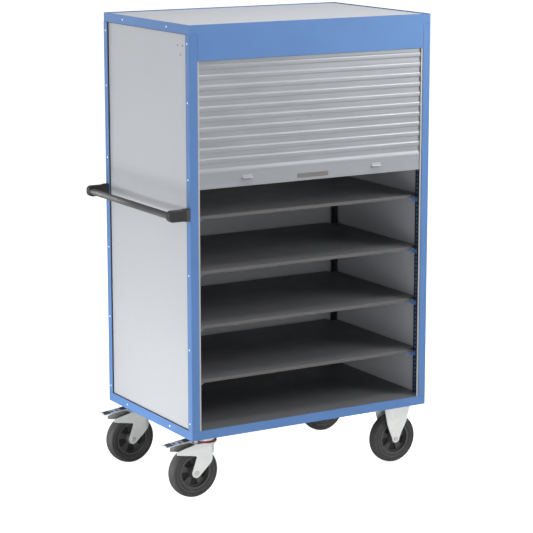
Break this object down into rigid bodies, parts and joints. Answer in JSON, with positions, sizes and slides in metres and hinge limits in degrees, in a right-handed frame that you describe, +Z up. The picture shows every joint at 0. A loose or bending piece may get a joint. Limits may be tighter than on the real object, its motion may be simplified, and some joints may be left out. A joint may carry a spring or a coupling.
{
  "type": "roller shutter cupboard trolley",
  "caption": "Tall folded-steel cupboard trolley with a roller shutter, shelf boards on slotted uprights, a side push handle and swivel and fixed castors.",
  "frame": {"origin": "on the ground, below the middle of the outer box", "axes": "+Z up, -Y out of the shuttered front, +X from the push handle's side to the other side"},
  "size_m": [1.1478, 0.707, 1.8],
  "materials": {
    "blue_paint": "satin powder coat",
    "galvanised_panel": "satin galvanised",
    "galvanised": "dull galvanised",
    "slat_aluminium": "brushed satin",
    "grey_label_plate": "dull",
    "dark_board": "dull coated board",
    "zinc_plate": "bright zinc",
    "rivet_metal": "dull",
    "dark_plastic": "fine grain",
    "dark_tube": "satin",
    "tyre_rubber": "matte",
    "rim_plastic": "satin",
    "seal_red": "satin"
  },
  "bodies": {
    "cabinet": {"base_frame": "blue_paint", "post_front_left": "blue_paint", "post_front_right": "blue_paint", "post_rear_left": "blue_paint", "post_rear_right": "blue_paint", "top_frame": "blue_paint", "front_fascia": "blue_paint", "slotted_upright_front_left": "blue_paint", "slotted_upright_front_right": "blue_paint", "slotted_upright_rear_left": "blue_paint", "slotted_upright_rear_right": "blue_paint", "shelf_clips": "blue_paint", "side_panel_left": "galvanised_panel", "side_panel_right": "galvanised_panel", "roof_panel": "galvanised_panel", "back_panel": "galvanised", "barrel_bracket_left": "galvanised", "barrel_bracket_right": "galvanised", "barrel_shaft": "galvanised", "balance_spring": "galvanised", "shutter_guide_left": "slat_aluminium", "shutter_guide_right": "slat_aluminium", "floor_board": "dark_board", "shelf_1": "dark_board", "shelf_2": "dark_board", "shelf_3": "dark_board", "shelf_4": "dark_board", "frame_rivets": "rivet_metal", "bracket_screws": "zinc_plate", "handle_screws": "zinc_plate", "castor_bolts": "zinc_plate", "castor_plate_front_left": "zinc_plate", "castor_plate_rear_left": "zinc_plate", "fixed_castor_axles": "zinc_plate", "handle_bracket_front": "dark_plastic", "handle_bracket_rear": "dark_plastic", "handle_tube": "dark_tube", "castor_seals": "seal_red", "castor_fork_front_right": "zinc_plate", "castor_fork_rear_right": "zinc_plate"},
    "shutter": {"shutter_curtain": "slat_aluminium", "bottom_bar": "slat_aluminium", "pull_lugs": "slat_aluminium", "bar_plate": "grey_label_plate"},
    "barrel": {"shutter_barrel": "galvanised", "shutter_coil": "slat_aluminium"},
    "swivel_front_left": {"castor_fork_front_left": "zinc_plate", "castor_axle_front_left": "zinc_plate"},
    "pedal_front_left": {"brake_pedal_front_left": "zinc_plate"},
    "swivel_rear_left": {"castor_fork_rear_left": "zinc_plate", "castor_axle_rear_left": "zinc_plate"},
    "pedal_rear_left": {"brake_pedal_rear_left": "zinc_plate"},
    "wheel_front_left": {"tyre_front_left": "tyre_rubber", "wheel_rim_front_left": "rim_plastic"},
    "wheel_rear_left": {"tyre_rear_left": "tyre_rubber", "wheel_rim_rear_left": "rim_plastic"},
    "wheel_front_right": {"tyre_front_right": "tyre_rubber", "wheel_rim_front_right": "rim_plastic"},
    "wheel_rear_right": {"tyre_rear_right": "tyre_rubber", "wheel_rim_rear_right": "rim_plastic"}
  },
  "joints": [
    {"name": "shutter_slide", "type": "slide", "parent": "cabinet", "child": "shutter", "axis": [0, 0, 1], "range_m": [-0.912, 0.4295], "deforming": ["shutter_curtain"]},
    {"name": "barrel_spin", "type": "hinge", "parent": "cabinet", "child": "barrel", "pos_m": [0.04305, -0.26355, 1.709], "axis": [1, 0, 0], "range_deg": [-495, 1048]},
    {"name": "swivel_front_left", "type": "hinge", "parent": "cabinet", "child": "swivel_front_left", "pos_m": [-0.38495, -0.26155, 0.244], "axis": [0, 0, 1], "continuous": true},
    {"name": "wheel_spin_front_left", "type": "hinge", "parent": "swivel_front_left", "child": "wheel_front_left", "pos_m": [-0.43995, -0.26155, 0.1], "axis": [0, 1, 0], "continuous": true},
    {"name": "pedal_press_front_left", "type": "hinge", "parent": "swivel_front_left", "child": "pedal_front_left", "pos_m": [-0.43495, -0.26155, 0.207], "axis": [0, 1, 0], "range_deg": [-8, 0]},
    {"name": "swivel_rear_left", "type": "hinge", "parent": "cabinet", "child": "swivel_rear_left", "pos_m": [-0.38495, 0.26845, 0.244], "axis": [0, 0, 1], "continuous": true},
    {"name": "wheel_spin_rear_left", "type": "hinge", "parent": "swivel_rear_left", "child": "wheel_rear_left", "pos_m": [-0.43995, 0.26845, 0.1], "axis": [0, 1, 0], "continuous": true},
    {"name": "pedal_press_rear_left", "type": "hinge", "parent": "swivel_rear_left", "child": "pedal_rear_left", "pos_m": [-0.43495, 0.26845, 0.207], "axis": [0, 1, 0], "range_deg": [-8, 0]},
    {"name": "wheel_spin_front_right", "type": "hinge", "parent": "cabinet", "child": "wheel_front_right", "pos_m": [0.47105, -0.26155, 0.1], "axis": [0, 1, 0], "continuous": true},
    {"name": "wheel_spin_rear_right", "type": "hinge", "parent": "cabinet", "child": "wheel_rear_right", "pos_m": [0.47105, 0.26845, 0.1], "axis": [0, 1, 0], "continuous": true}
  ],
  "couplings": [
    {"joint": "barrel_spin", "follows": "shutter_slide", "rad_per_m": -20}
  ]
}
